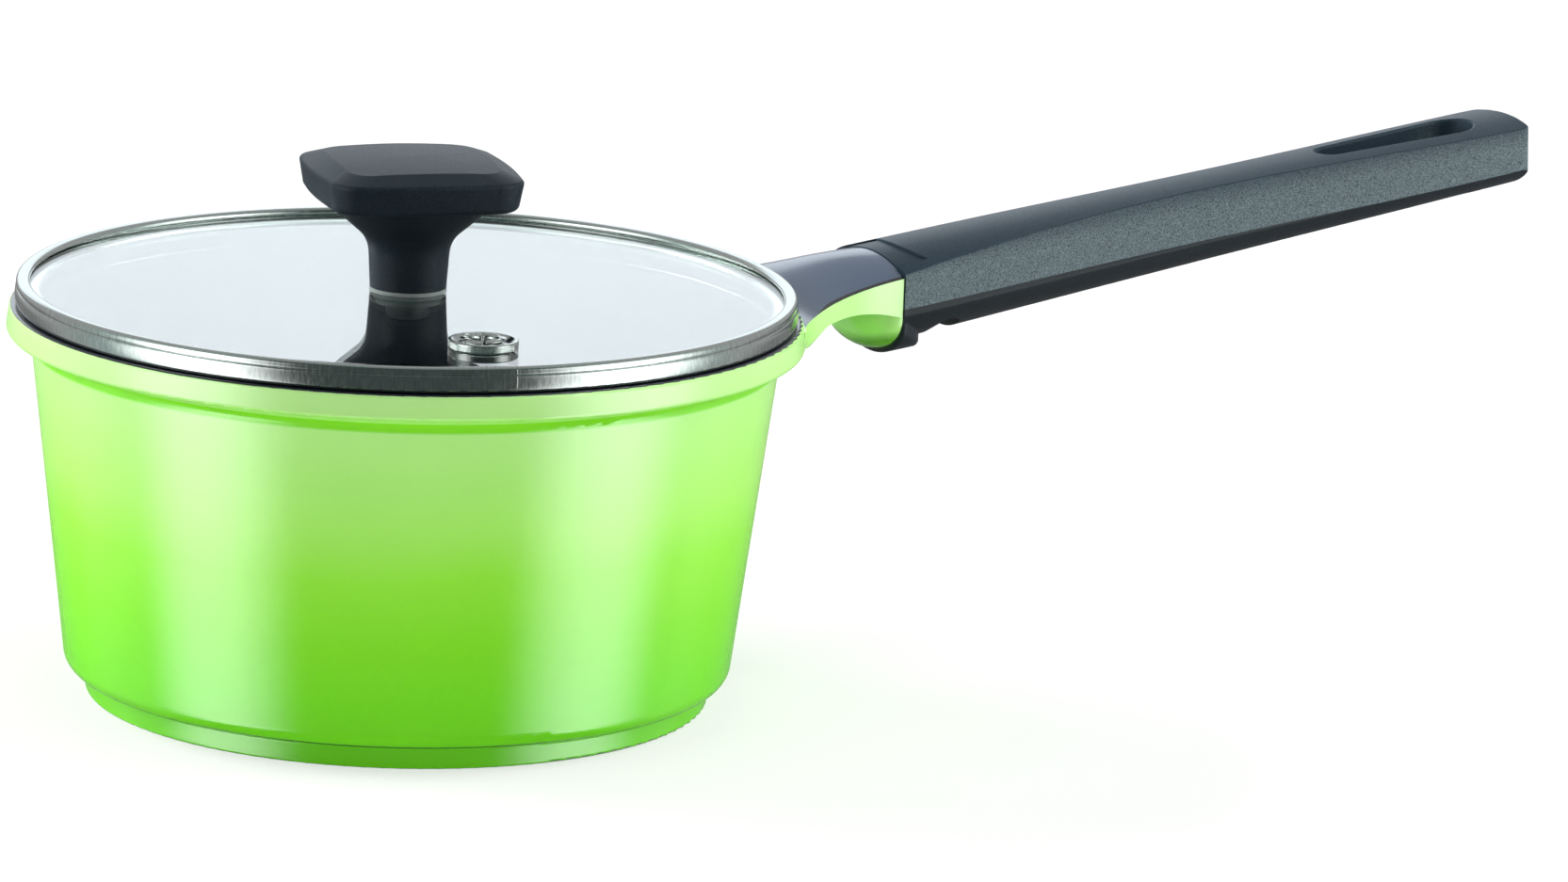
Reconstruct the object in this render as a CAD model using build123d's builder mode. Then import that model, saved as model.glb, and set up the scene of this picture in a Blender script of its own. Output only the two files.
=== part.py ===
import os
from math import cos, pi, radians, sin, sqrt, tan

from build123d import *

os.makedirs("parts", exist_ok=True)

# Pan casting: origin at the centre of the foot, handle along +X
pan_inner_diameter = 160.0
pan_height = 85.0
foot_height = 5.0
foot_step = 4.5
foot_edge = 0.8
floor_thickness = 4.6
floor_fillet = 10.0
wall_thickness = 2.7
wall_draft = 6.93
wall_foot_fillet = 4.0
bead_width = 6.6
bead_height = 5.7
bead_draft = 0.7
bead_edge = 0.9
cove_radius = 3.6
rim_step_depth = 5.2
rim_step_width = 1.2
rim_edge = 0.6

# Handle stub cast on the bead
stub_length = 29.9
stub_half_width = 15.0
stub_flare = 44.0
stub_crown = 3.1
stub_rise = 4.9
stub_shoulder_rise = 4.4
stub_arch_drop = 5.6
stub_arch_out = 15.9
stub_arch_radius = 49.0
stub_root_droop = 1.5
belly_depth = 9.3
belly_length = 8.0
tang_width = 13.0
tang_height = 7.4
tang_length = 27.0
tang_drop = 7.3
tang_root = 4.0

# Handle grip
grip_slope = 6.7
grip_length = 170.6
grip_proud = 0.7
grip_side_proud = 0.4
grip_joint_gap = 0.2
grip_front_crown_radius = 35.5
grip_end_crown_radius = 55.0
grip_shoulder_at = 38.0
grip_shoulder_half = 10.4
grip_shoulder_low_half = 14.2
grip_waist_at = 98.0
grip_waist_half = 7.7
grip_waist_low_half = 12.0
grip_rear_at = 138.0
grip_rear_half = 10.2
grip_rear_low_half = 12.6
grip_end_half = 11.8
grip_end_low_half = 12.6
grip_front_depth = 12.8
grip_end_depth = 10.7
grip_front_belly = 9.0
grip_end_belly = 5.4
grip_end_radius = 90.0
grip_end_corner = 2.6
grip_edge = 0.6
lug_length = 10.6
lug_proud = 1.4
lug_plan_radius = 15.4
lug_edge = 1.6
lug_front_edge = 1.2
collar_relief = 0.5
collar_relief_length = 5.2
collar_relief_side_length = 7.9
collar_relief_half = 11.5
slot_rear_diameter = 12.4
slot_front_diameter = 7.6
slot_length = 41.5
slot_end_wall = 10.5
slot_edge = 0.6
socket_clearance = 0.25
socket_end_gap = 1.0

# Handle screw
handle_screw_diameter = 4.0
handle_screw_at = 13.4
handle_screw_head = 7.0
handle_screw_head_height = 2.6
handle_screw_reach = 6.4
handle_screw_floor = 2.2
handle_recess_width = 8.2
handle_recess_across = 24.0
handle_washer_diameter = 7.6
handle_washer_thickness = 1.0
handle_washer_slit = 0.9
screw_clearance = 0.15
cross_width = 1.3
cross_length = 4.4
cross_depth = 1.6

# Lid glass and band
glass_thickness = 3.8
glass_edge = 1.2
glass_play = 0.2
band_thickness = 0.5
lid_ledge = 1.8
band_wall_height = 3.2
band_cover = 1.4
band_lean = 0.8
band_roll = 0.85
band_lip_reach = 3.2
band_bend = 0.55
band_seam = 0.3
band_seam_angle = -102.0
locating_lip_depth = 3.6
locating_lip_play = 0.4

# Steam vent
vent_radius_from_centre = 59.0
vent_angle = -102.1
vent_tube_diameter = 6.6
vent_bore = 5.4
vent_hole_play = 0.2
vent_flange_diameter = 11.0
vent_flange_thickness = 0.5
vent_washer_diameter = 15.0
vent_washer_thickness = 1.0
vent_rim_height = 1.9
vent_rim_width = 0.9
vent_rim_edge = 0.4
vent_petal_diameter = 10.6
vent_petal_height = 1.2
vent_petals = 6
vent_petal_slit = 0.7

# Knob
knob_turn = -14.0
knob_sides = 4
knob_width = 42.8
knob_corner = 7.0
knob_side_bulge = 0.8
knob_height = 28.8
knob_widest_height = 26.0
knob_top_inset = 6.6
knob_crown_radius = 220.0
knob_underside_height = 19.4
knob_underside_inset = 1.0
knob_underside_edge = 1.5
knob_soft_edge = 0.9
knob_flare_diameter = 38.4
knob_neck_height = 10.5
knob_neck_diameter = 17.9
knob_neck_fillet = 7.0
knob_stem_diameter = 16.6
insert_diameter = 8.4
insert_length = 12.0
insert_play = 0.05
knob_screw_diameter = 5.0
knob_screw_reach = 9.0
knob_screw_head = 9.4
knob_screw_head_height = 3.2
knob_hole_play = 1.0
knob_washer_diameter = 14.0
knob_washer_thickness = 1.0
knob_seal_diameter = 16.8
knob_seal_thickness = 0.8
lower_seal_diameter = 15.0
lower_seal_thickness = 1.0

# Values that follow from the sizes above
stub_stations = 10
inner_radius = pan_inner_diameter / 2
bead_radius = inner_radius + bead_width
bead_low = pan_height - bead_height
step_low = pan_height - rim_step_depth
cavity_top = inner_radius - rim_step_width
draft = tan(radians(wall_draft))
stub_root = inner_radius - wall_thickness
stub_end = bead_radius + stub_length
slope = tan(radians(grip_slope))
axis_dir = (cos(radians(grip_slope)), 0, sin(radians(grip_slope)))
stub_top = pan_height + stub_rise
grip_start = stub_end + grip_joint_gap
grip_end = grip_start + grip_length
tang_centre = stub_top - tang_drop
band_radius = bead_radius - lid_ledge
glass_radius = band_radius - band_thickness - glass_play
glass_low = pan_height + band_thickness
glass_top = glass_low + glass_thickness
knob_base = glass_top + knob_seal_thickness
screw_plane = Plane(
    origin=(stub_end + handle_screw_at, 0, tang_centre + handle_screw_at * slope),
    x_dir=axis_dir,
    z_dir=(-sin(radians(grip_slope)), 0, cos(radians(grip_slope))),
)
recess_floor = screw_plane.offset(-tang_height / 2 - handle_screw_floor)
vent_x = vent_radius_from_centre * cos(radians(vent_angle))
vent_y = vent_radius_from_centre * sin(radians(vent_angle))


def wall_radius(height):
    return cavity_top + wall_thickness + (height - step_low) * draft


def round_corner(sketch, x, y, radius):
    corner = sketch.vertices().sort_by_distance((x, y, 0))[0]
    fillet(corner, radius)


def stub_half(x):
    centre = sqrt((bead_radius + stub_flare) ** 2 - (stub_half_width + stub_flare) ** 2)
    if x >= centre:
        return stub_half_width
    return stub_half_width + stub_flare - sqrt(stub_flare**2 - (centre - x) ** 2)


def sagitta(radius, half):
    return radius - sqrt(radius**2 - half**2)


def stub_low(x):
    if x < bead_radius:
        return bead_low - stub_root_droop * (x - stub_root) / (bead_radius - stub_root)
    past_arch = x - bead_radius - stub_arch_out
    return pan_height - stub_arch_drop - past_arch**2 / (2 * stub_arch_radius)


def grip_outline(along, half, low_half):
    share = along / grip_length
    crown = stub_top + grip_proud + along * slope
    crown_radius = grip_front_crown_radius + (grip_end_crown_radius - grip_front_crown_radius) * share
    shoulder = crown - sagitta(crown_radius, half)
    low = crown - grip_front_depth + (grip_front_depth - grip_end_depth) * share
    keel = low - grip_front_belly + (grip_front_belly - grip_end_belly) * share
    with BuildSketch(Plane.YZ.offset(grip_start + along)) as outline:
        with BuildLine():
            ThreePointArc((half, shoulder), (0, crown), (-half, shoulder))
            Line((-half, shoulder), (-low_half, low))
            ThreePointArc((-low_half, low), (0, keel), (low_half, low))
            Line((low_half, low), (half, shoulder))
        make_face()
    return outline.sketch


def cross_mark(plane):
    with BuildSketch(plane) as mark:
        Rectangle(cross_length, cross_width)
        Rectangle(cross_width, cross_length)
    return mark.sketch


# Pan: turned body and stub, then the cavity
with BuildPart() as pan_body:
    wall_foot = wall_radius(foot_height)
    wall_top = wall_radius(bead_low)
    foot_radius = wall_foot - foot_step
    with BuildSketch(Plane.XZ) as body_profile:
        with BuildLine():
            Polyline(
                (0, 0),
                (foot_radius, 0),
                (foot_radius, foot_height),
                (wall_foot, foot_height),
                (wall_top, bead_low),
                (bead_radius, bead_low),
                (bead_radius - bead_draft, pan_height),
                (0, pan_height),
                close=True,
            )
        make_face()
        round_corner(body_profile, foot_radius, 0, foot_edge)
        round_corner(body_profile, foot_radius, foot_height, foot_edge)
        round_corner(body_profile, wall_foot, foot_height, wall_foot_fillet)
        round_corner(body_profile, wall_top, bead_low, cove_radius)
        round_corner(body_profile, bead_radius, bead_low, bead_edge)
        round_corner(body_profile, bead_radius - bead_draft, pan_height, bead_edge)
    revolve(axis=Axis.Z)

    for i in range(stub_stations + 1):
        x = stub_root + (stub_end - stub_root) * i / stub_stations
        half = stub_half(x)
        out = max(0, x - bead_radius) / (stub_end - bead_radius)
        crown = pan_height + stub_rise * sin(out * pi / 2)
        shoulder = pan_height - stub_crown + stub_shoulder_rise * out
        low = stub_low(x)
        with BuildSketch(Plane.YZ.offset(x)):
            with BuildLine():
                ThreePointArc((half, shoulder), (0, crown), (-half, shoulder))
                Polyline((-half, shoulder), (-half, low), (half, low), (half, shoulder))
            make_face()
    loft()

    # Belly below the stub: part of an ellipsoid, cut off at the joint with the grip
    belly_top = stub_low(stub_end)
    ball = Sphere(1, mode=Mode.PRIVATE)
    belly = scale(ball, by=(belly_length, stub_half_width, belly_depth), mode=Mode.PRIVATE)
    with Locations((stub_end, 0, belly_top)):
        add(belly)
    split(bisect_by=Plane.YZ.offset(stub_end), keep=Keep.BOTTOM)

    # Tang for the grip, with the hole for its screw
    with BuildSketch(Plane.YZ.offset(stub_end - tang_root)):
        with Locations((0, tang_centre - tang_root * slope)):
            Rectangle(tang_width, tang_height)
    extrude(amount=tang_length + tang_root, dir=axis_dir)
    with BuildSketch(screw_plane):
        Circle(handle_screw_diameter / 2 + screw_clearance)
    extrude(amount=tang_height, both=True, mode=Mode.SUBTRACT)

    # Cavity with the rim step that takes the lid's lip
    cavity_low = wall_radius(floor_thickness) - wall_thickness
    with BuildSketch(Plane.XZ) as cavity_profile:
        with BuildLine():
            Polyline(
                (0, floor_thickness),
                (cavity_low, floor_thickness),
                (cavity_top, step_low),
                (inner_radius, step_low),
                (inner_radius, pan_height),
                (bead_radius - bead_draft, pan_height),
                (bead_radius - bead_draft, stub_top),
                (0, stub_top),
                close=True,
            )
        make_face()
        round_corner(cavity_profile, cavity_low, floor_thickness, floor_fillet)
        round_corner(cavity_profile, inner_radius, step_low, rim_edge)
        round_corner(cavity_profile, inner_radius, pan_height, rim_edge)
    revolve(axis=Axis.Z, mode=Mode.SUBTRACT)
pan_body.part.label = "pan_body"
export_step(pan_body.part, "parts/pan_body.step")

# Shape taken off the collar's top, with a curved rear edge
with BuildPart() as collar_cut:
    with BuildSketch(Plane.YZ.offset(grip_start)):
        with Locations((0, stub_top + grip_proud - collar_relief - grip_front_crown_radius)):
            Rectangle(
                2 * collar_relief_half, 2 * grip_front_crown_radius, align=(Align.CENTER, Align.MIN)
            )
            Circle(grip_front_crown_radius, mode=Mode.SUBTRACT)
    extrude(amount=2 * collar_relief_side_length, dir=axis_dir)
    side_x = grip_start + collar_relief_side_length
    with BuildSketch(Plane.XY):
        with BuildLine():
            ThreePointArc(
                (side_x, -collar_relief_half),
                (grip_start + collar_relief_length, 0),
                (side_x, collar_relief_half),
            )
            Polyline(
                (side_x, collar_relief_half), (grip_start, collar_relief_half),
                (grip_start, -collar_relief_half), (side_x, -collar_relief_half),
            )
        make_face()
    extrude(amount=2 * pan_height, mode=Mode.INTERSECT)

# Lug that covers the belly of the stub, round at the rear
collar_half = stub_half_width + grip_side_proud
lug_depth = belly_depth + lug_proud
with BuildPart() as lug:
    with BuildSketch(Plane.YZ.offset(grip_start)):
        with Locations((0, stub_low(stub_end))):
            Ellipse(collar_half, lug_depth)
            Rectangle(2 * collar_half, lug_depth, align=(Align.CENTER, Align.MIN), mode=Mode.SUBTRACT)
    extrude(amount=2 * lug_length, dir=axis_dir)
    with BuildSketch(Plane.XY):
        with Locations((grip_start + lug_length - lug_plan_radius, 0)):
            Circle(lug_plan_radius)
    extrude(amount=2 * pan_height, mode=Mode.INTERSECT)
    rear_wall = lug.faces().filter_by(GeomType.CYLINDER).sort_by(Axis.X)[-1]
    fillet(rear_wall.edges().sort_by(Axis.Z)[0], lug_edge)
    fillet(lug.faces().sort_by(Axis.X)[0].edges().sort_by(Axis.Z)[0], lug_front_edge)

# Grip: lofted through its collar, waist, rear and end outlines
with BuildPart() as handle_grip:
    stations = (
        (0, collar_half, collar_half),
        (grip_shoulder_at, grip_shoulder_half, grip_shoulder_low_half),
        (grip_waist_at, grip_waist_half, grip_waist_low_half),
        (grip_rear_at, grip_rear_half, grip_rear_low_half),
        (grip_length, grip_end_half, grip_end_low_half),
    )
    loft(sections=[grip_outline(*station) for station in stations])

    # Shallow arc across the end
    reach = 2 * collar_half
    arc_side = grip_end - sagitta(grip_end_radius, reach)
    with BuildSketch(Plane.XY):
        with BuildLine():
            ThreePointArc((arc_side, -reach), (grip_end, 0), (arc_side, reach))
            Polyline((arc_side, reach), (grip_start, reach), (grip_start, -reach), (arc_side, -reach))
        make_face()
    extrude(amount=2 * pan_height, mode=Mode.INTERSECT)

    # Soft corners and edges of the moulding
    end_face = handle_grip.faces().sort_by(Axis.X)[-1]
    fillet(end_face.edges().sort_by(lambda e: abs(e.center().Y))[-2:], grip_end_corner)
    long_edges = handle_grip.edges().filter_by(lambda e: e.length > grip_length / 2)
    end_edges = handle_grip.edges().filter_by(lambda e: e.center().X > grip_end - grip_end_corner)
    end_rims = end_edges.filter_by(lambda e: e.bounding_box().size.Z < grip_end_corner)
    fillet(long_edges + end_rims, grip_edge)

    add(lug.part)

    # Collar top set lower than the grip behind it
    add(collar_cut.part, mode=Mode.SUBTRACT)

    # Hanging slot, wider towards the end
    slot_rear = grip_end - slot_end_wall - slot_rear_diameter / 2
    slot_front = grip_end - slot_end_wall - slot_length + slot_front_diameter / 2
    with BuildSketch(Plane.XY):
        with Locations((slot_rear, 0)):
            Circle(slot_rear_diameter / 2)
        with Locations((slot_front, 0)):
            Circle(slot_front_diameter / 2)
        make_hull()
    extrude(amount=2 * pan_height, mode=Mode.SUBTRACT)
    fillet(handle_grip.edges(Select.LAST), slot_edge)

    # Socket for the tang and the recess for its screw
    with BuildSketch(Plane.YZ.offset(grip_start)):
        with Locations((0, tang_centre + grip_joint_gap * slope)):
            Rectangle(tang_width + 2 * socket_clearance, tang_height + 2 * socket_clearance)
    extrude(amount=tang_length + socket_end_gap, dir=axis_dir, mode=Mode.SUBTRACT)
    with BuildSketch(screw_plane):
        Circle(handle_screw_diameter / 2 + 2 * screw_clearance)
    extrude(amount=-tang_height / 2 - 2 * handle_screw_floor, mode=Mode.SUBTRACT)
    with BuildSketch(recess_floor):
        SlotOverall(handle_recess_across, handle_recess_width, rotation=90)
    extrude(amount=-pan_height / 2, mode=Mode.SUBTRACT)
handle_grip.part.label = "handle_grip"
export_step(handle_grip.part, "parts/handle_grip.step")

# Screw and spring washer that hold the grip on the tang, from below
head_seat = recess_floor.offset(-handle_washer_thickness)
with BuildPart() as handle_screw_washer:
    with BuildSketch(recess_floor):
        Circle(handle_washer_diameter / 2)
        Circle(handle_screw_diameter / 2 + screw_clearance, mode=Mode.SUBTRACT)
        with Locations((handle_washer_diameter / 2, 0)):
            Rectangle(handle_washer_diameter, handle_washer_slit, mode=Mode.SUBTRACT)
    extrude(amount=-handle_washer_thickness)
handle_screw_washer.part.label = "handle_screw_washer"
export_step(handle_screw_washer.part, "parts/handle_screw_washer.step")

with BuildPart() as handle_screw:
    with BuildSketch(head_seat):
        Circle(handle_screw_head / 2)
    extrude(amount=-handle_screw_head_height)
    fillet(handle_screw.edges().sort_by(Axis.Z)[0], handle_screw_head_height / 3)
    with BuildSketch(head_seat):
        Circle(handle_screw_diameter / 2)
    extrude(amount=handle_washer_thickness + handle_screw_floor + handle_screw_reach)
    extrude(
        cross_mark(head_seat.offset(-handle_screw_head_height)), amount=cross_depth, mode=Mode.SUBTRACT
    )
handle_screw.part.label = "handle_screw"
export_step(handle_screw.part, "parts/handle_screw.step")

# Lid glass with its two holes
with BuildPart() as lid_glass:
    with BuildSketch(Plane.XY.offset(glass_low)):
        Circle(glass_radius)
        Circle(knob_screw_diameter / 2 + knob_hole_play, mode=Mode.SUBTRACT)
        with Locations((vent_x, vent_y)):
            Circle(vent_tube_diameter / 2 + vent_hole_play, mode=Mode.SUBTRACT)
    extrude(amount=glass_thickness)
    fillet(lid_glass.edges().filter_by(GeomType.CIRCLE).group_by(SortBy.RADIUS)[-1], glass_edge)
lid_glass.part.label = "lid_glass"
export_step(lid_glass.part, "parts/lid_glass.step")

# Band: one strip rolled over the glass edge, with a lip that locates the lid in the pan
with BuildPart() as lid_band:
    lip_radius = inner_radius - locating_lip_play
    band_top = glass_top + band_cover
    roll_inner = band_radius - band_lip_reach
    with BuildSketch(Plane.XZ):
        with BuildLine():
            FilletPolyline(
                (lip_radius, pan_height - locating_lip_depth),
                (lip_radius, pan_height),
                (band_radius, pan_height),
                (band_radius, pan_height + band_wall_height),
                (band_radius - band_lean, band_top),
                (roll_inner, band_top),
                (roll_inner, glass_top),
                radius=(band_bend, band_bend, band_bend, band_roll, band_roll),
            )
            offset(amount=band_thickness, side=Side.LEFT)
        make_face()
    revolve(axis=Axis.Z)
    with BuildSketch(Plane.XY.rotated((0, 0, band_seam_angle))):
        with Locations((band_radius, 0)):
            Rectangle(4 * band_lip_reach, band_seam)
    extrude(amount=2 * pan_height, mode=Mode.SUBTRACT)
lid_band.part.label = "lid_band"
export_step(lid_band.part, "parts/lid_band.step")

# Steam vent: tube with a lower flange and petals curled over a washer
vent_axis = Axis((vent_x, vent_y, 0), (0, 0, 1))
vent_plane = Plane(origin=(vent_x, vent_y, 0), x_dir=(1, 0, 0), z_dir=(0, -1, 0))
washer_top = glass_top + vent_washer_thickness
with BuildPart() as vent_washer:
    rim_radius = vent_washer_diameter / 2
    rim_top = glass_top + vent_rim_height
    with BuildSketch(vent_plane) as washer_profile:
        with BuildLine():
            Polyline(
                (vent_tube_diameter / 2 + vent_hole_play, glass_top),
                (rim_radius, glass_top),
                (rim_radius, rim_top),
                (rim_radius - vent_rim_width, rim_top),
                (vent_petal_diameter / 2, washer_top),
                (vent_tube_diameter / 2 + vent_hole_play, washer_top),
                close=True,
            )
        make_face()
        round_corner(washer_profile, rim_radius, glass_top, vent_rim_edge)
        round_corner(washer_profile, rim_radius, rim_top, vent_rim_edge)
        round_corner(washer_profile, rim_radius - vent_rim_width, rim_top, vent_rim_edge)
    revolve(axis=vent_axis)
vent_washer.part.label = "vent_washer"
export_step(vent_washer.part, "parts/vent_washer.step")

with BuildPart() as vent_eyelet:
    tube = vent_tube_diameter / 2
    bore = vent_bore / 2
    petal = vent_petal_diameter / 2
    with BuildSketch(vent_plane):
        with BuildLine():
            Polyline(
                (bore, washer_top + vent_petal_height / 2),
                (bore, glass_low - vent_flange_thickness),
                (vent_flange_diameter / 2, glass_low - vent_flange_thickness),
                (vent_flange_diameter / 2, glass_low),
                (tube, glass_low),
                (tube, washer_top),
                (petal, washer_top),
            )
            ThreePointArc(
                (petal, washer_top),
                ((petal + bore) / 2, washer_top + vent_petal_height),
                (bore, washer_top + vent_petal_height / 2),
            )
        make_face()
    revolve(axis=vent_axis)
    with BuildSketch(Plane((vent_x, vent_y, washer_top))):
        with PolarLocations(petal, vent_petals):
            Rectangle(2 * (petal - tube), vent_petal_slit)
    extrude(amount=2 * vent_petal_height, mode=Mode.SUBTRACT)
vent_eyelet.part.label = "vent_eyelet"
export_step(vent_eyelet.part, "parts/vent_eyelet.step")


def knob_square(height, width):
    half = width / 2
    flat = half - knob_corner
    diagonal = flat + knob_corner * cos(pi / 4)
    with BuildSketch(Plane.XY.offset(knob_base + height).rotated((0, 0, knob_turn))) as square:
        with BuildLine():
            for side in range(knob_sides):
                turn = Rot(0, 0, 360 / knob_sides * side)
                side_points = [(half, -flat), (half + knob_side_bulge, 0), (half, flat)]
                corner_points = [(half, flat), (diagonal, diagonal), (flat, half)]
                ThreePointArc(*[(turn * Pos(*point)).position for point in side_points])
                ThreePointArc(*[(turn * Pos(*point)).position for point in corner_points])
        make_face()
    return square.sketch


# Knob: square head with a crowned top on a round stem that flares below it
with BuildPart() as knob:
    loft(
        sections=[
            knob_square(knob_underside_height, knob_width - 2 * knob_underside_inset),
            knob_square(knob_widest_height, knob_width),
            knob_square(knob_height, knob_width - 2 * knob_top_inset),
        ],
        ruled=True,
    )
    fillet(knob.faces().sort_by(Axis.Z)[0].edges(), knob_underside_edge)
    with Locations((0, 0, knob_base + knob_height - knob_crown_radius)):
        Sphere(knob_crown_radius, mode=Mode.INTERSECT)
    fillet(knob.faces().sort_by(Axis.Z)[-1].edges(), knob_soft_edge)
    widest = knob_base + knob_widest_height
    parting = knob.edges().sort_by(lambda e: abs(e.center().Z - widest))[: 2 * knob_sides]
    fillet(parting, knob_soft_edge)
    underside = knob_base + knob_underside_height
    flare = knob_flare_diameter / 2
    with BuildSketch(Plane.XZ) as stem_profile:
        with BuildLine():
            Polyline(
                (0, knob_base),
                (knob_stem_diameter / 2, knob_base),
                (knob_neck_diameter / 2, knob_base + knob_neck_height),
                (flare, underside),
                (flare, underside + knob_underside_edge),
                (0, underside + knob_underside_edge),
                close=True,
            )
        make_face()
        round_corner(stem_profile, knob_neck_diameter / 2, knob_base + knob_neck_height, knob_neck_fillet)
    revolve(axis=Axis.Z)
    with BuildSketch(Plane.XY.offset(knob_base)):
        Circle(insert_diameter / 2 + insert_play)
    extrude(amount=insert_length, mode=Mode.SUBTRACT)
knob.part.label = "knob"
export_step(knob.part, "parts/knob.step")

with BuildPart() as knob_insert:
    with BuildSketch(Plane.XY.offset(knob_base)):
        Circle(insert_diameter / 2)
        Circle(knob_screw_diameter / 2 + screw_clearance, mode=Mode.SUBTRACT)
    extrude(amount=insert_length)
knob_insert.part.label = "knob_insert"
export_step(knob_insert.part, "parts/knob_insert.step")


def lid_ring(low, diameter):
    with BuildSketch(Plane.XY.offset(low)) as ring:
        Circle(diameter / 2)
        Circle(knob_screw_diameter / 2 + screw_clearance, mode=Mode.SUBTRACT)
    return ring.sketch


lower_seal_low = glass_low - lower_seal_thickness
washer_low = lower_seal_low - knob_washer_thickness
with BuildPart() as knob_seal_upper:
    extrude(lid_ring(glass_top, knob_seal_diameter), amount=knob_seal_thickness)
knob_seal_upper.part.label = "knob_seal_upper"
export_step(knob_seal_upper.part, "parts/knob_seal_upper.step")

with BuildPart() as knob_seal_lower:
    extrude(lid_ring(lower_seal_low, lower_seal_diameter), amount=lower_seal_thickness)
knob_seal_lower.part.label = "knob_seal_lower"
export_step(knob_seal_lower.part, "parts/knob_seal_lower.step")

with BuildPart() as knob_washer:
    extrude(lid_ring(washer_low, knob_washer_diameter), amount=knob_washer_thickness)
knob_washer.part.label = "knob_washer"
export_step(knob_washer.part, "parts/knob_washer.step")

with BuildPart() as knob_screw:
    with BuildSketch(Plane.XY.offset(washer_low)):
        Circle(knob_screw_head / 2)
    extrude(amount=-knob_screw_head_height)
    fillet(knob_screw.edges().sort_by(Axis.Z)[0], knob_screw_head_height / 3)
    with BuildSketch(Plane.XY.offset(washer_low)):
        Circle(knob_screw_diameter / 2)
    extrude(amount=knob_base - washer_low + knob_screw_reach)
    extrude(
        cross_mark(Plane.XY.offset(washer_low - knob_screw_head_height)),
        amount=cross_depth, mode=Mode.SUBTRACT,
    )
knob_screw.part.label = "knob_screw"
export_step(knob_screw.part, "parts/knob_screw.step")
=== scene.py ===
import bpy
import bmesh
import random
from math import atan2, cos, pi, radians, sin, sqrt, tan
from mathutils import Matrix, Vector


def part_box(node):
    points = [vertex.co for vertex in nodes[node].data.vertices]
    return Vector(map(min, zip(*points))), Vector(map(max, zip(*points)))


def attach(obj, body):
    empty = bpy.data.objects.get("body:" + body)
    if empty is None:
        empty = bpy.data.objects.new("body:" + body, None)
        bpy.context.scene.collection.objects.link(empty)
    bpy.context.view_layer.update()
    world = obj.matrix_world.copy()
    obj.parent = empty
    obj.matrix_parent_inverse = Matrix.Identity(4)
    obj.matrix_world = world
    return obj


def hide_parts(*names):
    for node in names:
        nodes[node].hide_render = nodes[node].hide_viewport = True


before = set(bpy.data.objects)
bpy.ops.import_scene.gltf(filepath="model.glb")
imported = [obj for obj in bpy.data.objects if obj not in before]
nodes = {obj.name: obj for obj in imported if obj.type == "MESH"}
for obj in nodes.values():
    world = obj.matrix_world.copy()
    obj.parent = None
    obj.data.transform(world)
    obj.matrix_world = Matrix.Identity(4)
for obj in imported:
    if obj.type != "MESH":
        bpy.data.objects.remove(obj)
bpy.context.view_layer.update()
print("frame loaded:", len(nodes), "nodes")

mm = 0.001


# camera and stage

view = {
    "place": Vector((-0.8587, -1.6150, 0.4756)),
    "target": Vector((0.07304, -0.03884, 0.05809)),
    "roll": 0.039,
    "lens": 198.06,
    "sensor": 36.0,
}


def addCamera():
    forward = (view["target"] - view["place"]).normalized()
    level = forward.cross(Vector((0, 0, 1))).normalized()
    upright = level.cross(forward)
    right = level * cos(view["roll"]) + upright * sin(view["roll"])
    up = upright * cos(view["roll"]) - level * sin(view["roll"])
    turn = Matrix((right, up, -forward)).transposed().to_4x4()
    data = bpy.data.cameras.new("camera")
    data.lens = view["lens"]
    data.sensor_width = view["sensor"]
    camera = bpy.data.objects.new("camera", data)
    camera.matrix_world = Matrix.Translation(view["place"]) @ turn
    bpy.context.collection.objects.link(camera)
    bpy.context.scene.camera = camera


addCamera()
print("camera placed")


# node helpers

def srgb(red, green, blue):
    def toLinear(value):
        value = value / 255
        if value <= 0.04045:
            return value / 12.92
        return ((value + 0.055) / 1.055) ** 2.4
    return (toLinear(red), toLinear(green), toLinear(blue), 1.0)


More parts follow.
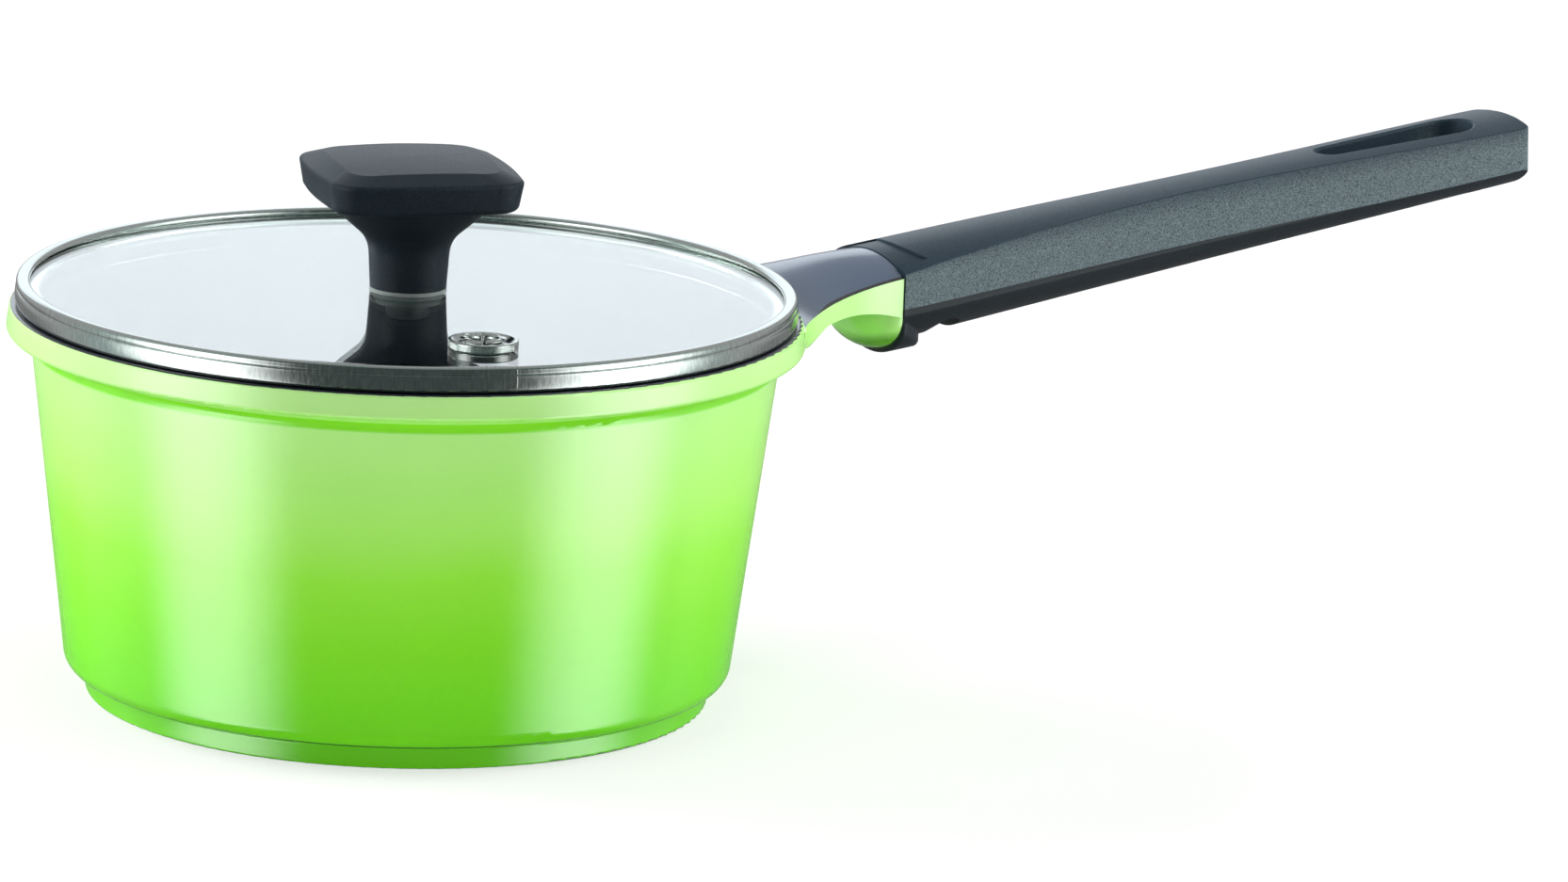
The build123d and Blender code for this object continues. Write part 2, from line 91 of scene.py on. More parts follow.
class Graph:
    # short ways to add nodes to a node tree
    def __init__(self, tree):
        self.tree = tree
        coords = self.tree.nodes.new("ShaderNodeTexCoord")
        self.place = coords.outputs["Object"]
        self.normal = coords.outputs["Normal"]
        self.direction = coords.outputs["Generated"]  # in the world, the way a ray goes

    def node(self, kind, inputs=(), **settings):
        made = self.tree.nodes.new("ShaderNode" + kind)
        for key, value in settings.items():
            setattr(made, key, value)
        for key, value in dict(inputs).items():
            self.plug(value, made.inputs[key])
        return made

    def plug(self, value, socket):
        if isinstance(value, bpy.types.NodeSocket):
            self.tree.links.new(value, socket)
        else:
            socket.default_value = value

    def math(self, operation, *values, clamp=False):
        made = self.node("Math", operation=operation, use_clamp=clamp)
        for socket, value in zip(made.inputs, values):
            self.plug(value, socket)
        return made.outputs[0]

    def split(self, vector):
        return self.node("SeparateXYZ", {"Vector": vector}).outputs

    def ramp(self, value, low, high, start=0.0, end=1.0):
        made = self.node("MapRange", interpolation_type="SMOOTHSTEP")
        for socket, given in zip(made.inputs, (value, low, high, start, end)):
            self.plug(given, socket)
        return made.outputs[0]

    def mix(self, factor, first, second):
        made = self.node("Mix", data_type="RGBA")
        self.plug(factor, made.inputs[0])
        self.plug(first, made.inputs[6])
        self.plug(second, made.inputs[7])
        return made.outputs[2]

    def blend(self, factor, first, second):
        made = self.node("Mix", data_type="FLOAT")
        self.plug(factor, made.inputs[0])
        self.plug(first, made.inputs[2])
        self.plug(second, made.inputs[3])
        return made.outputs[0]

    def noise(self, scale, detail=2.0, roughness=0.5, vector=None):
        inputs = {"Vector": vector or self.place, "Scale": scale, "Detail": detail}
        return self.node("TexNoise", {**inputs, "Roughness": roughness}).outputs[0]

    def stops(self, value, colours):
        made = self.node("ValToRGB", {"Fac": value})
        ramp = made.color_ramp
        while len(ramp.elements) < len(colours):
            ramp.elements.new(0.5)
        for element, (position, colour) in zip(ramp.elements, colours):
            element.position = position
            element.color = colour
        return made.outputs[0]

    def lightPath(self, *rays):
        path = self.node("LightPath")
        found = path.outputs[rays[0]]
        for ray in rays[1:]:
            found = self.math("MAXIMUM", found, path.outputs[ray])
        return found


class Shade(Graph):
    # a material with its Principled shader
    def __init__(self, name):
        self.material = bpy.data.materials.new(name)
        self.material.use_nodes = True
        super().__init__(self.material.node_tree)
        self.shader = self.tree.nodes["Principled BSDF"]

    def bump(self, height, distance, strength=1.0):
        made = self.node("Bump", {"Height": height, "Distance": distance, "Strength": strength})
        self.plug(made.outputs[0], self.shader.inputs["Normal"])

    def set(self, **values):
        for key, value in values.items():
            self.plug(value, self.shader.inputs[key.replace("_", " ")])


def paint(nodeName, material):
    slots = nodes[nodeName].data.materials
    slots.clear()
    slots.append(material)


# pan: lacquer outside, non-stick coat inside and over the rim, turned base

panFinish = {
    # lacquer colours by height in mm, the pale mist sprayed over the deep ground from above
    "lacquer": (
        (2, srgb(102, 197, 2)), (14, srgb(107, 207, 3)), (28, srgb(119, 212, 10)), (43, srgb(136, 220, 46)),
        (54, srgb(156, 226, 90)), (64, srgb(162, 227, 108)), (84, srgb(177, 228, 138)),
    ),
    "height": 84.3,
    "cloudScale": 24.0,
    "cloudSpan": (0.2, 0.8),
    "cloudShift": (-0.02, 0.02),
    "ground": srgb(119, 211, 14),
    "lacquerRough": 0.17,
    "reflectance": 1.9,  # index of the flake lacquer
    "peelScale": 420.0,
    "finePeel": (2400.0, 0.35),  # scale and share

    # deeper green in the cove, and painted shade under the bead
    "coveLow": 75.4 * mm,
    "coveMiddle": 76.2 * mm,
    "coveTop": 78.0 * mm,
    "beadLow": 79.5 * mm,
    "beadTurn": 80.3 * mm,
    "beadUnderShade": 0.5,

    # non-stick coat
    "coat": srgb(25, 29, 38),
    "coatFleck": srgb(74, 79, 88),
    "fleckScale": 2600.0,
    "fleckSpan": (0.66, 0.74),
    "fleckRelief": 0.8,
    "coatRough": 0.2,
    "wallFoot": 71.1 * mm,  # wall's middle line where it meets the floor of the pan
    "wallSlope": tan(radians(6.93)),
    "footHeight": 5 * mm,
    "coatFrom": 0.2 * mm,  # above the foot
    "floorRadius": 66 * mm,
    "floorTop": 4 * mm,
    "beadMiddle": 83.5 * mm,
    "rimEdge": 84.72 * mm,  # the coat ends on the bead's upper edge

    # handle stub
    "stubStart": 87.0 * mm,
    "stubLow": 80 * mm,
    # painted reflection: the coat on the stub's top is painted paler and bluer than the same coat elsewhere
    "stubCoatSheen": srgb(70, 86, 108),
    # painted shade: the stub's underside, which faces down, is painted a deeper green
    "stubUnderShade": srgb(84, 146, 18),
    "facesUp": (0.42, 0.5),
    "facesDown": (-0.4, -0.8),
    "shoulder": 81.9 * mm,  # upper edge of the stub's side at the bead, which rises from there
    "shoulderStart": 86.6 * mm,
    "shoulderRise": 4.4 / 29.9,
    "coatEdgeShade": srgb(8, 9, 11),  # painted shade: the coat is painted darker close above that edge
    "edgeHeight": 0.42 * mm,
    "edgeRun": 9 * mm,

    # turned base
    "bareMetal": (srgb(150, 152, 155), srgb(206, 208, 210)),  # between the tool marks and on them
    "bareRough": (0.42, 0.28),
    "footFace": 0.2 * mm,
    "baseTurn": -0.8,
    "markScale": 1100.0,
    "markSpan": (0.35, 0.65),
    "ringPitch": 9000.0,
    "ringRelief": 2.0,

    "relief": 0.01 * mm,
    "reliefStrength": 0.5,
}


def panMaterial():
    s = Shade("panLacquer")
    x, y, z = s.split(s.place)
    nz = s.split(s.normal)[2]
    radius = s.math("SQRT", s.math("ADD", s.math("MULTIPLY", x, x), s.math("MULTIPLY", y, y)))
    onStub = s.math("GREATER_THAN", radius, panFinish["stubStart"])

    # mist by height, a little cloudy, deeper green in the cove, and painted shade under the bead and below
    # the stub
    cloud = s.ramp(s.noise(panFinish["cloudScale"]), *panFinish["cloudSpan"], *panFinish["cloudShift"])
    level = s.math("ADD", s.math("MULTIPLY", z, 1 / mm / panFinish["height"]), cloud)
    stops = [(height / panFinish["height"], colour) for height, colour in panFinish["lacquer"]]
    lacquer = s.stops(level, stops)
    cove = s.math("MULTIPLY", s.ramp(z, panFinish["coveLow"], panFinish["coveMiddle"]),
                  s.math("LESS_THAN", z, panFinish["coveTop"]))
    # painted shade: the bead's lower rounding is painted half way to the deep green
    beadUnderShade = s.ramp(z, panFinish["beadTurn"], panFinish["beadLow"], 0.0, panFinish["beadUnderShade"])
    beadUnder = s.math("MULTIPLY", beadUnderShade, s.math("GREATER_THAN", z, panFinish["coveTop"]))
    cove = s.math("MAXIMUM", cove, beadUnder)
    # painted shade where the stub faces down, with the deeper green of the cove and the painted shade under
    # the bead
    deepAndShaded = s.blend(onStub, cove, s.ramp(nz, *panFinish["facesDown"]))
    lacquer = s.mix(deepAndShaded, lacquer, s.mix(onStub, panFinish["ground"], panFinish["stubUnderShade"]))

    # non-stick coat: inside the wall's middle line, and facing up on the rim and the stub
    rise = s.math("SUBTRACT", z, panFinish["footHeight"])
    wallMiddle = s.math("MULTIPLY_ADD", rise, panFinish["wallSlope"], panFinish["wallFoot"])
    inBead = s.math("GREATER_THAN", z, panFinish["beadLow"])
    wallMiddle = s.math("MAXIMUM", wallMiddle, s.math("MULTIPLY", inBead, panFinish["beadMiddle"]))
    within = s.math("MULTIPLY", s.math("LESS_THAN", radius, wallMiddle),
                    s.math("GREATER_THAN", rise, panFinish["coatFrom"]))
    floorInside = s.math("MULTIPLY", s.math("LESS_THAN", radius, panFinish["floorRadius"]),
                         s.math("GREATER_THAN", z, panFinish["floorTop"]))
    onRim = s.math("GREATER_THAN", z, panFinish["rimEdge"])
    stubTop = s.math("MULTIPLY", s.ramp(nz, *panFinish["facesUp"]),
                     s.math("GREATER_THAN", z, panFinish["stubLow"]))
    coated = s.math("MAXIMUM", s.math("MAXIMUM", within, floorInside), s.blend(onStub, onRim, stubTop))
    along = s.math("MAXIMUM", s.math("SUBTRACT", x, panFinish["shoulderStart"]), 0.0)
    edge = s.math("MULTIPLY_ADD", along, panFinish["shoulderRise"], panFinish["shoulder"])
    edgeTop = s.math("ADD", edge, s.ramp(along, 0.0, panFinish["edgeRun"], 0.0, panFinish["edgeHeight"]))
    # painted shade along the stub's shoulder edge, over the painted reflection on its top
    stubCoatSheen = s.mix(s.math("LESS_THAN", z, edgeTop), panFinish["stubCoatSheen"], panFinish["coatEdgeShade"])
    flecks = s.noise(panFinish["fleckScale"], 1.0)
    coat = s.mix(onStub, panFinish["coat"], stubCoatSheen)
    coat = s.mix(s.ramp(flecks, *panFinish["fleckSpan"]), coat, panFinish["coatFleck"])
    colour = s.mix(coated, lacquer, coat)

    # unpainted turned metal below the foot
    base = s.math("MULTIPLY", s.math("LESS_THAN", nz, panFinish["baseTurn"]),
                  s.math("LESS_THAN", z, panFinish["footFace"]))
    toolMarks = s.noise(panFinish["markScale"], 2.0, 0.6, s.node("CombineXYZ", {"X": radius}).outputs[0])
    bareMetal = s.mix(s.ramp(toolMarks, *panFinish["markSpan"]), *panFinish["bareMetal"])
    colour = s.mix(base, colour, bareMetal)
    bareRough = s.ramp(toolMarks, *panFinish["markSpan"], *panFinish["bareRough"])
    rough = s.blend(base, s.blend(coated, panFinish["lacquerRough"], panFinish["coatRough"]), bareRough)

    # relief: orange peel in the lacquer, flecks in the coat, rings on the base
    fineScale, fineShare = panFinish["finePeel"]
    finePeel = s.math("MULTIPLY", s.noise(fineScale, 1.0), fineShare)
    peel = s.math("ADD", s.noise(panFinish["peelScale"]), finePeel)
    surface = s.blend(coated, peel, s.math("MULTIPLY", flecks, panFinish["fleckRelief"]))
    rings = s.math("SINE", s.math("MULTIPLY", radius, panFinish["ringPitch"]))
    surface = s.blend(base, surface, s.math("MULTIPLY", rings, panFinish["ringRelief"]))
    s.bump(surface, panFinish["relief"], panFinish["reliefStrength"])
    s.set(Base_Color=colour, Roughness=rough, Metallic=base, IOR=panFinish["reflectance"])
    return s.material


panLacquer = panMaterial()
paint("pan_body", panLacquer)


# handle: speckled moulding

handleFinish = {
    "top": (srgb(28, 41, 50), srgb(44, 60, 72)),  # dark and light of the grain
    # the sides' lighter grain is their coarser speckle and, partly, painted sheen
    "side": (srgb(30, 39, 43), srgb(108, 124, 129)),
    # painted shade: the underside, and everything below the panel line
    "under": (srgb(20, 25, 30), srgb(34, 41, 47)),
    "grainScale": 3300.0,
    "grainSpan": (0.3, 0.7),
    "grainRough": (0.48, 0.38),
    "relief": 0.012 * mm,
    "reliefStrength": 0.5,
    "gloss": 0.22,
    "panelStart": 116.7 * mm,
    "panelLow": 79.3 * mm,  # the speckled side panel ends above this line
    "panelRise": 0.118,
    "sideUpperShade": (5.5 * mm, 10.5 * mm),  # painted shade: over this height above that line the side is painted darker, towards the top's tone
    "sideUpperShadeLeft": 0.3,
    "slotEdge": (5.5 * mm, 6.6 * mm),
    "facesAside": (0.45, 0.75),
    "facesDown": (-0.2, -0.5),
}


def handleMaterial():
    s = Shade("handleMoulding")
    x, y, z = s.split(s.place)
    ny, nz = s.split(s.normal)[1:]
    outer = s.ramp(s.math("ABSOLUTE", y), *handleFinish["slotEdge"])  # not inside the hanging slot
    onSide = s.math("MULTIPLY", outer, s.ramp(s.math("ABSOLUTE", ny), *handleFinish["facesAside"]))
    along = s.math("SUBTRACT", x, handleFinish["panelStart"])
    panelEdge = s.math("MULTIPLY_ADD", along, handleFinish["panelRise"], handleFinish["panelLow"])
    below = s.math("MAXIMUM", s.ramp(nz, *handleFinish["facesDown"]), s.math("LESS_THAN", z, panelEdge))
    # painted shade along the upper part of the side panel
    sideUpperShade = s.ramp(s.math("SUBTRACT", z, panelEdge), *handleFinish["sideUpperShade"], 1.0, handleFinish["sideUpperShadeLeft"])
    onSide = s.math("MULTIPLY", onSide, sideUpperShade)
    grain = s.ramp(s.noise(handleFinish["grainScale"], 3.0, 0.75), *handleFinish["grainSpan"])
    # tones by facing: painted sheen on the sides, painted shade below
    tones = {face: s.mix(grain, *handleFinish[face]) for face in ("top", "side", "under")}
    s.set(Base_Color=s.mix(below, s.mix(onSide, tones["top"], tones["side"]), tones["under"]))
    s.set(Roughness=s.blend(grain, *handleFinish["grainRough"]), Specular_IOR_Level=handleFinish["gloss"])
    s.bump(grain, handleFinish["relief"], handleFinish["reliefStrength"])
    return s.material


paint("handle_grip", handleMaterial())


# knob: satin moulding

knobFinish = {
    "ground": srgb(21, 31, 38),
    "light": srgb(33, 45, 53),
    "grainScale": 3200.0,
    "grainSpan": (0.4, 0.7),
    "roughSpan": (0.3, 0.7),
    "grainRough": (0.4, 0.52),
    "relief": 0.012 * mm,
    "reliefStrength": 0.5,
    "gloss": 0.22,
}


def knobMaterial():
    s = Shade("knobMoulding")
    grain = s.noise(knobFinish["grainScale"], 2.0, 0.6)
    tone = s.mix(s.ramp(grain, *knobFinish["grainSpan"]), knobFinish["ground"], knobFinish["light"])
    rough = s.ramp(grain, *knobFinish["roughSpan"], *knobFinish["grainRough"])
    s.set(Base_Color=tone, Roughness=rough, Specular_IOR_Level=knobFinish["gloss"])
    s.bump(grain, knobFinish["relief"], knobFinish["reliefStrength"])
    return s.material


paint("knob", knobMaterial())


# steel: polished band and vent, duller screws

steelFinish = {
    "ground": srgb(200, 206, 203),
    "streak": srgb(182, 188, 185),
    "bandRough": 0.15,
    "screwRough": 0.28,
    "streakRough": 1.5,  # how much duller the streaks are
    "streakTurn": 6.0,  # streaks drawn out round the lid
    "streakRise": 14.0,
    "streakScale": 30.0,
    "streakSpan": (0.3, 0.7),
    "relief": 0.01 * mm,
    "reliefStrength": 0.08,
}


def steelMaterial(name, roughness):
    s = Shade(name)
    x, y, z = s.split(s.place)
    turn = s.math("MULTIPLY", s.math("ARCTAN2", y, x), steelFinish["streakTurn"])
    rise = s.math("MULTIPLY", z, steelFinish["streakRise"])
    around = s.node("CombineXYZ", {"X": turn, "Y": rise}).outputs[0]
    streaks = s.noise(steelFinish["streakScale"], 4.0, 0.6, around)
    span = steelFinish["streakSpan"]
    dull = roughness * steelFinish["streakRough"]
    s.set(Base_Color=s.mix(s.ramp(streaks, *span), steelFinish["streak"], steelFinish["ground"]))
    s.set(Metallic=1.0, Roughness=s.ramp(streaks, *span, roughness, dull))
    s.bump(streaks, steelFinish["relief"], steelFinish["reliefStrength"])
    return s.material


bandSteel = steelMaterial("bandSteel", steelFinish["bandRough"])
screwSteel = steelMaterial("screwSteel", steelFinish["screwRough"])
paint("vent_washer", bandSteel)
for name in ("handle_screw", "handle_screw_washer", "knob_screw", "knob_washer"):
    paint(name, screwSteel)


# band: one strip rolled over the edge of the glass, its ends meeting in a butt seam

bandShape = {
    # radius and height of the strip's middle, mm: locating lip, ledge, swelled wall, crease, top roll
    "profile": (
        (79.35, 81.5), (79.35, 84.5), (79.5, 85.05), (80.1, 85.25), (83.5, 85.25),
        (83.95, 85.32), (84.24, 85.52), (84.4, 85.85), (84.49, 86.3), (84.54, 86.9), (84.55, 87.5),
        (84.5, 88.1), (84.42, 88.5), (84.26, 88.76), (84.08, 88.9), (84.2, 89.06), (84.31, 89.2),
        (84.34, 89.5), (84.3, 89.85), (84.12, 90.2), (83.8, 90.4), (83.2, 90.45), (82.5, 90.42), (82.1, 90.3),
        (81.88, 90.08), (81.83, 89.8), (81.83, 89.58),
    ),
    "wallRadius": 84.55 * mm,
    "sheet": 0.5 * mm,
    "columns": 180,
    "seamAngle": radians(-102),
    "seamGap": 0.12 * mm,
}


def sheetPiece(name, shape, thickness, material, body):
    # a bmesh sheet made a piece of that thickness
    bmesh.ops.recalc_face_normals(shape, faces=shape.faces)
    mesh = bpy.data.meshes.new(name)
    shape.to_mesh(mesh)
    shape.free()
    mesh.shade_smooth()
    mesh.materials.append(material)
    piece = bpy.data.objects.new(name, mesh)
    bpy.context.collection.objects.link(piece)
    wall = piece.modifiers.new("wall", "SOLIDIFY")
    wall.thickness = thickness
    wall.offset = 0
    wall.edge_crease_inner = 1  # cut edges stay crisp
    wall.edge_crease_outer = 1
    soften = piece.modifiers.new("soften", "SUBSURF")
    soften.levels = 1
    soften.render_levels = 1
    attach(piece, body)
    return piece


def profileLine(shape, profile):
    line = [shape.verts.new((radius * mm, 0, height * mm)) for radius, height in profile]
    return line + [shape.edges.new(pair) for pair in zip(line, line[1:])]


def addBand():
    shape = bmesh.new()
    line = profileLine(shape, bandShape["profile"])
    gap = bandShape["seamGap"] / bandShape["wallRadius"]
    seam = bandShape["seamAngle"]
    bmesh.ops.rotate(shape, verts=shape.verts, matrix=Matrix.Rotation(seam + gap / 2, 3, "Z"))
    bmesh.ops.spin(shape, geom=line, cent=(0, 0, 0), axis=(0, 0, 1), angle=2 * pi - gap,
                   steps=bandShape["columns"])
    for turn in (-gap, gap):  # a narrow column at each end keeps the seam straight
        across = Matrix.Rotation(seam + turn, 3, "Z") @ Vector((0, 1, 0))
        everything = shape.verts[:] + shape.edges[:] + shape.faces[:]
        bmesh.ops.bisect_plane(shape, geom=everything, plane_co=(0, 0, 0), plane_no=across)
    piece = sheetPiece("lidBand", shape, bandShape["sheet"], bandSteel, "lid")
    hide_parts("lid_band")


addBand()
print("band rolled")


# steam vent: a sheet tube whose top is slit and curled out, each petal a little differently

ventShape = {
    # radius and height, mm: foot below the glass, tube, curl
    "profile": (
        (5.2, 85.25), (3.7, 85.25), (3.15, 85.38), (3.0, 85.8), (3.0, 88.2), (3.0, 90.45),
        (3.06, 90.85), (3.3, 91.17), (3.75, 91.33), (4.25, 91.3), (4.7, 91.1), (5.0, 90.8),
    ),
    "tubeRadius": 3.0 * mm,
    "sheet": 0.45 * mm,
    "petals": 6,
    "columns": 14,  # per petal, the slit's included
    "slitColumns": 2,
    "curlFrom": 90.6 * mm,
    "lift": (-0.05, 0.22),  # radians, as drawn for each petal
    "twist": 0.1,
    "seed": 5,
}


def addVent():
    low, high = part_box("vent_eyelet")
    centre = Vector(((low[0] + high[0]) / 2, (low[1] + high[1]) / 2, 0))
    shape = bmesh.new()
    line = profileLine(shape, ventShape["profile"])
    columns = ventShape["petals"] * ventShape["columns"]
    bmesh.ops.spin(shape, geom=line, cent=(0, 0, 0), axis=(0, 0, 1), angle=2 * pi, steps=columns,
                   use_merge=True)

    def columnOf(point):
        return (atan2(point.y, point.x) / (2 * pi)) % 1.0 * columns

    def inSlit(face):
        middle = face.calc_center_median()
        column = columnOf(middle) % ventShape["columns"]
        return middle.z > ventShape["curlFrom"] and column < ventShape["slitColumns"]

    slits = [face for face in shape.faces if inSlit(face)]
    bmesh.ops.delete(shape, geom=slits, context="FACES")
    draw = random.Random(ventShape["seed"])
    slack = 0.5  # of a column
    for petal in range(ventShape["petals"]):
        first = petal * ventShape["columns"] + ventShape["slitColumns"] - slack
        last = (petal + 1) * ventShape["columns"] + slack
        curl = []
        for vertex in shape.verts:
            column = columnOf(vertex.co)
            if column < slack / 2:  # the last petal ends where the columns start again
                column = columns
            if vertex.co.z > ventShape["curlFrom"] and first < column < last:
                curl.append(vertex)
        middle = (first + last) / 2 / columns * 2 * pi
        outward = Vector((cos(middle), sin(middle), 0))
        hinge = outward * ventShape["tubeRadius"] + Vector((0, 0, ventShape["curlFrom"]))
        along = Vector((-outward.y, outward.x, 0))
        lift = Matrix.Rotation(-draw.uniform(*ventShape["lift"]), 3, along)
        twist = Matrix.Rotation(draw.uniform(-ventShape["twist"], ventShape["twist"]), 3, outward)
        bmesh.ops.rotate(shape, verts=curl, cent=hinge, matrix=twist @ lift)
    bmesh.ops.translate(shape, verts=shape.verts, vec=centre)
    piece = sheetPiece("ventTube", shape, ventShape["sheet"], bandSteel, "lid")
    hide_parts("vent_eyelet")


addVent()
print("vent curled")


# webs below the sides of the stub, where they run out of the bead

webShape = {
    "beadRadius": 86.6 * mm,
    "flare": 44 * mm,  # radius of the stub's side in plan
    "halfWidth": 15 * mm,
    "end": radians(124),  # how far along the flare the web reaches
    "lowFrom": 79.2 * mm,  # lower edge at the bead, and at the far end
    "lowTo": 78.1 * mm,
    "dip": 2.4 * mm,
    "top": 80.6 * mm,
    "sheet": 2 * mm,
    "proud": 0.1 * mm,
    "lean": 0.25 * mm,  # the top leans into the side
    "columns": 18,
    "rows": 4,
}


def addWebs():
    aside = webShape["halfWidth"] + webShape["flare"]
    out = sqrt((webShape["beadRadius"] + webShape["flare"]) ** 2 - aside ** 2)
    first = atan2(aside, -out)
    inner = webShape["flare"] + webShape["sheet"] / 2 - webShape["proud"]
    for name, side in (("stubWebNear", -1), ("stubWebFar", 1)):
        shape = bmesh.new()
        bmesh.ops.create_grid(shape, x_segments=webShape["columns"], y_segments=webShape["rows"], size=0.5)
        for vertex in shape.verts:
            along = vertex.co.x + 0.5  # 0 to 1 both ways over the grid
            rise = vertex.co.y + 0.5
            turn = first + (webShape["end"] - first) * along
            radius = inner + webShape["lean"] * rise
            low = webShape["lowFrom"] + (webShape["lowTo"] - webShape["lowFrom"]) * along
            low -= webShape["dip"] * sin(pi * along)
            vertex.co.x = out + radius * cos(turn)
            vertex.co.y = side * (aside - radius * sin(turn))
            vertex.co.z = low + (webShape["top"] - low) * rise
        sheetPiece(name, shape, webShape["sheet"], panLacquer, "pan")


addWebs()
print("stub webs added")


# brass insert

brassFinish = {
    "tarnish": srgb(186, 150, 84),
    "bright": srgb(206, 176, 110),
    "rough": (0.28, 0.4),
    "scale": 500.0,
    "span": (0.3, 0.7),
}


def brassMaterial():
    s = Shade("insertBrass")
    wear = s.noise(brassFinish["scale"], 3.0)
    span = brassFinish["span"]
    s.set(Base_Color=s.mix(s.ramp(wear, *span), brassFinish["tarnish"], brassFinish["bright"]))
    s.set(Metallic=1.0, Roughness=s.ramp(wear, *span, *brassFinish["rough"]))
    return s.material


paint("knob_insert", brassMaterial())


# glass and silicone

glassFinish = {"tint": srgb(246, 252, 250), "index": 1.5}
sealFinish = {
    "haze": (srgb(150, 162, 159), srgb(164, 175, 172)),
    "rough": (0.3, 0.42),
    "scale": 900.0,
    "span": (0.3, 0.7),
    "index": 1.42,
    "clear": 0.3,
}


def glassMaterial():
    s = Shade("lidGlass")
    s.set(Base_Color=glassFinish["tint"], Roughness=0.0, IOR=glassFinish["index"], Transmission_Weight=1.0)
    return s.material


def sealMaterial():
    s = Shade("clearSilicone")
    haze = s.noise(sealFinish["scale"])
    span = sealFinish["span"]
    s.set(Base_Color=s.mix(s.ramp(haze, *span), *sealFinish["haze"]), IOR=sealFinish["index"])
    s.set(Roughness=s.ramp(haze, *span, *sealFinish["rough"]), Transmission_Weight=sealFinish["clear"])
    return s.material


paint("lid_glass", glassMaterial())
clearSilicone = sealMaterial()
paint("knob_seal_upper", clearSilicone)
paint("knob_seal_lower", clearSilicone)
print("materials painted")


# studio

studio = {
    "floorSize": 8.0,
    "floorColour": (0.9, 0.9, 0.9, 1.0),
    "floorSeen": (0.4, 0.4, 0.4, 1.0),
    "floorGlow": 0.6,  # keeps the floor white to the camera
    "worldStrength": 0.1,
    "front": Vector((-0.508, -0.861, 0)),  # towards the camera
    # what metal and lacquer mirror: dark in front, paler at the sides and overhead
    "frontDark": 0.085,
    "frontSpan": (0.75, 0.2),
    "sidePale": 0.48,
    "highPale": 0.35,
    "highSpan": (0.85, 0.98),
    "lowDark": 0.25,  # darker again below the table behind
    "lowSpan": (-0.03, -0.2),
    "behindSpan": (-0.45, -0.75),
    "nearPale": 0.1,  # and straight down
    "nearSpan": (-0.5, -0.85),
    "mirrorTint": (0.78, 1, 0.96, 1),
    "tintSpan": (-0.6, 0.0),
    "boxes": {
        # name: (place, aimed at, width, height, watts, colour, soft share of each side, mirrored)
        "leftBox": ((-1.19, 0.02, -0.1), (0, 0, -0.1), 1.47, 2.0, 27.2, (1, 1, 1), 0.45, True),
        "rightBox": ((0.752, -0.935, -0.1), (0, 0, -0.1), 1.55, 2.0, 25.3, (1, 1, 1), 0.45, True),
        "backBox": ((0.59, 1.587, 0.52), (0, 0, 0.09), 1.4, 0.62, 3.2, (0.82, 0.92, 1), 0, True),
        "topBox": ((0.1, -0.2, 1.6), (0.05, 0, 0), 1.2, 1.2, 5.2, (1, 1, 1), 0, False),
        "leftFill": ((-0.75, 0.95, 0.55), (0, 0, 0.05), 1.0, 1.0, 27.0, (1, 1, 1), 0, False),
        "rightFill": ((1.25, -0.35, 0.75), (0.1, 0, 0.05), 0.9, 1.2, 17.5, (1, 1, 1), 0, False),
    },
}


def addFloor():
    shape = bmesh.new()
    bmesh.ops.create_grid(shape, x_segments=1, y_segments=1, size=studio["floorSize"] / 2)
    mesh = bpy.data.meshes.new("floor")
    shape.to_mesh(mesh)
    shape.free()
    floor = bpy.data.objects.new("floor", mesh)
    bpy.context.collection.objects.link(floor)
    s = Shade("floor")
    seen = s.lightPath("Is Camera Ray", "Is Transmission Ray")
    s.set(Base_Color=s.mix(seen, studio["floorColour"], studio["floorSeen"]))
    s.set(Roughness=1.0, Specular_IOR_Level=0.0, Emission_Color=(1, 1, 1, 1))
    s.set(Emission_Strength=s.math("MULTIPLY", seen, studio["floorGlow"]))
    # the boxes reach below the table, so that the drafted wall mirrors them
    show = s.node("MixShader")
    fromBelow = s.node("NewGeometry").outputs["Backfacing"]
    s.plug(s.math("MAXIMUM", s.lightPath("Is Glossy Ray", "Is Shadow Ray"), fromBelow), show.inputs[0])
    s.plug(s.shader.outputs[0], show.inputs[1])
    s.plug(s.node("BsdfTransparent").outputs[0], show.inputs[2])
    s.plug(show.outputs[0], s.tree.nodes["Material Output"].inputs[0])
    mesh.materials.append(s.material)


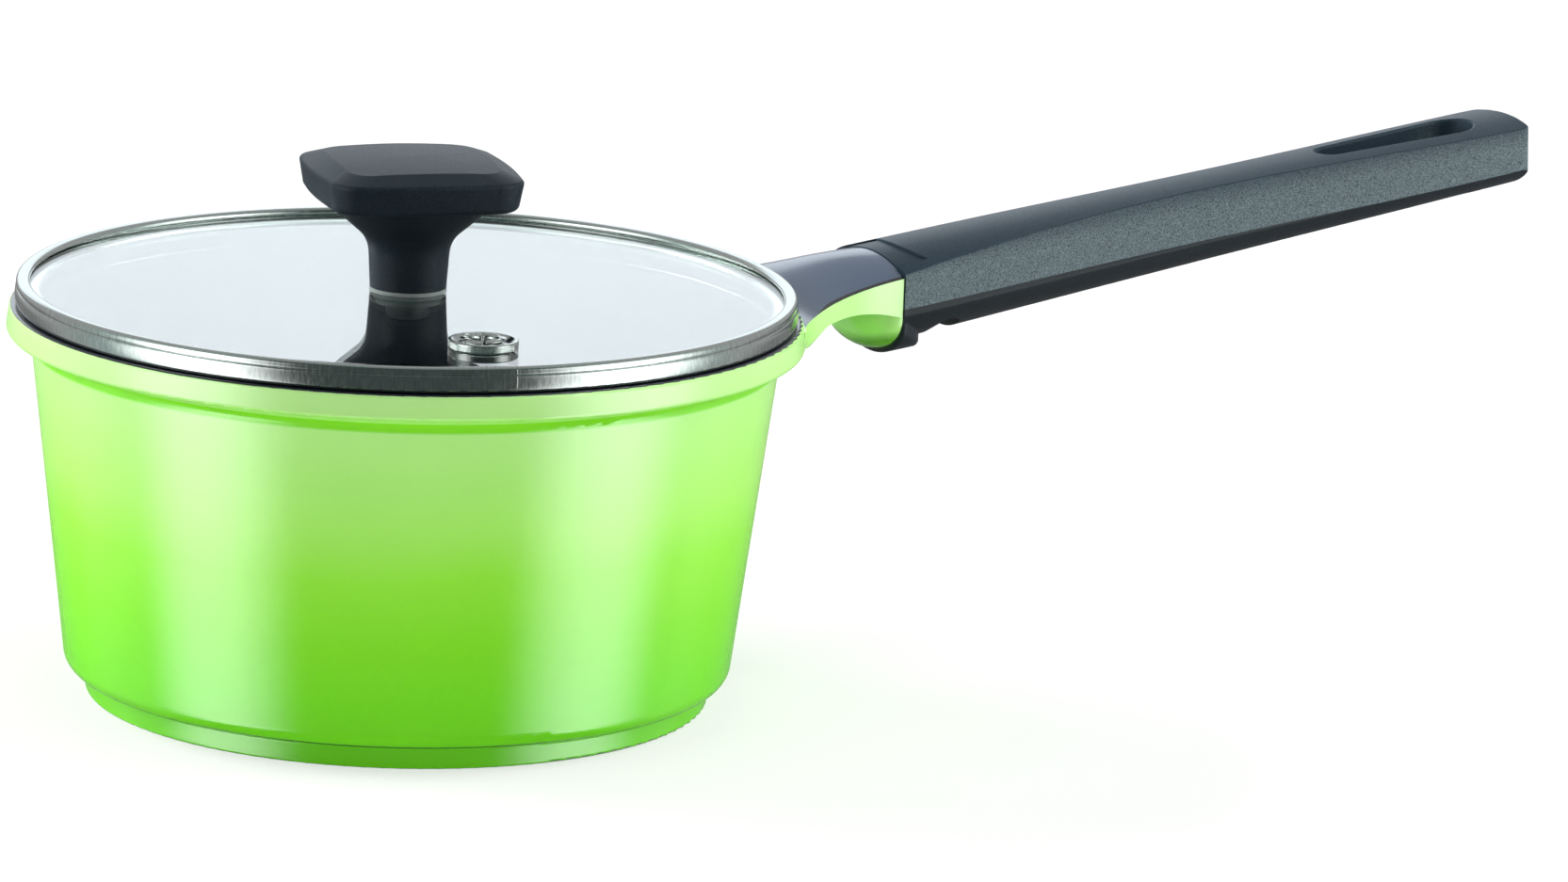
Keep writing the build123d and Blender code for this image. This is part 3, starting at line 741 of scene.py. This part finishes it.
def addWorld():
    world = bpy.data.worlds.new("studio")
    bpy.context.scene.world = world
    world.use_nodes = True
    g = Graph(world.node_tree)
    height = g.split(g.direction)[2]
    level = g.math("SQRT", g.math("SUBTRACT", 1.0, g.math("MULTIPLY", height, height)))
    aim = g.node("VectorMath", {0: g.direction, 1: studio["front"]}, operation="DOT_PRODUCT")
    aim = g.math("DIVIDE", aim.outputs["Value"], level)  # 1 in front, -1 behind
    mirrored = g.ramp(aim, *studio["frontSpan"], studio["frontDark"], studio["sidePale"])
    mirrored = g.blend(g.ramp(height, *studio["highSpan"]), mirrored, studio["highPale"])
    lowBehind = g.math("MULTIPLY", g.ramp(height, *studio["lowSpan"]), g.ramp(aim, *studio["behindSpan"]))
    mirrored = g.blend(lowBehind, mirrored, studio["lowDark"])
    mirrored = g.blend(g.ramp(height, *studio["nearSpan"]), mirrored, studio["nearPale"])
    lit = g.math("MULTIPLY", g.math("GREATER_THAN", height, 0.0), studio["worldStrength"])
    glossy = g.lightPath("Is Glossy Ray")
    strength = g.blend(glossy, lit, mirrored)
    strength = g.blend(g.lightPath("Is Camera Ray", "Is Transmission Ray"), strength, 1.0)
    background = g.tree.nodes["Background"]
    tinted = g.math("MULTIPLY", glossy, g.ramp(aim, *studio["tintSpan"]))
    g.plug(g.mix(tinted, (1, 1, 1, 1), studio["mirrorTint"]), background.inputs[0])
    g.plug(strength, background.inputs[1])


def softenSides(data, share):
    # a box that falls off to nothing over this share of its width on either side
    data.use_nodes = True
    g = Graph(data.node_tree)
    across = g.split(g.node("NewGeometry").outputs["Parametric"])[0]
    fromMiddle = g.math("ABSOLUTE", g.math("SUBTRACT", across, 0.5))
    g.plug(g.ramp(fromMiddle, 0.5, 0.5 - share), g.tree.nodes["Emission"].inputs["Strength"])


def addBoxes():
    for name, (place, aim, width, height, watts, colour, soft, mirrored) in studio["boxes"].items():
        data = bpy.data.lights.new(name, "AREA")
        data.shape = "RECTANGLE"
        data.size = width
        data.size_y = height
        data.energy = watts
        data.color = colour
        if soft:
            softenSides(data, soft)
        lamp = bpy.data.objects.new(name, data)
        lamp.location = place
        lamp.rotation_euler = (Vector(place) - Vector(aim)).to_track_quat("Z", "Y").to_euler()
        lamp.visible_camera = False
        lamp.visible_glossy = mirrored
        bpy.context.collection.objects.link(lamp)


addFloor()
addWorld()
addBoxes()
bpy.context.scene.view_settings.view_transform = "Standard"
print("studio lit")
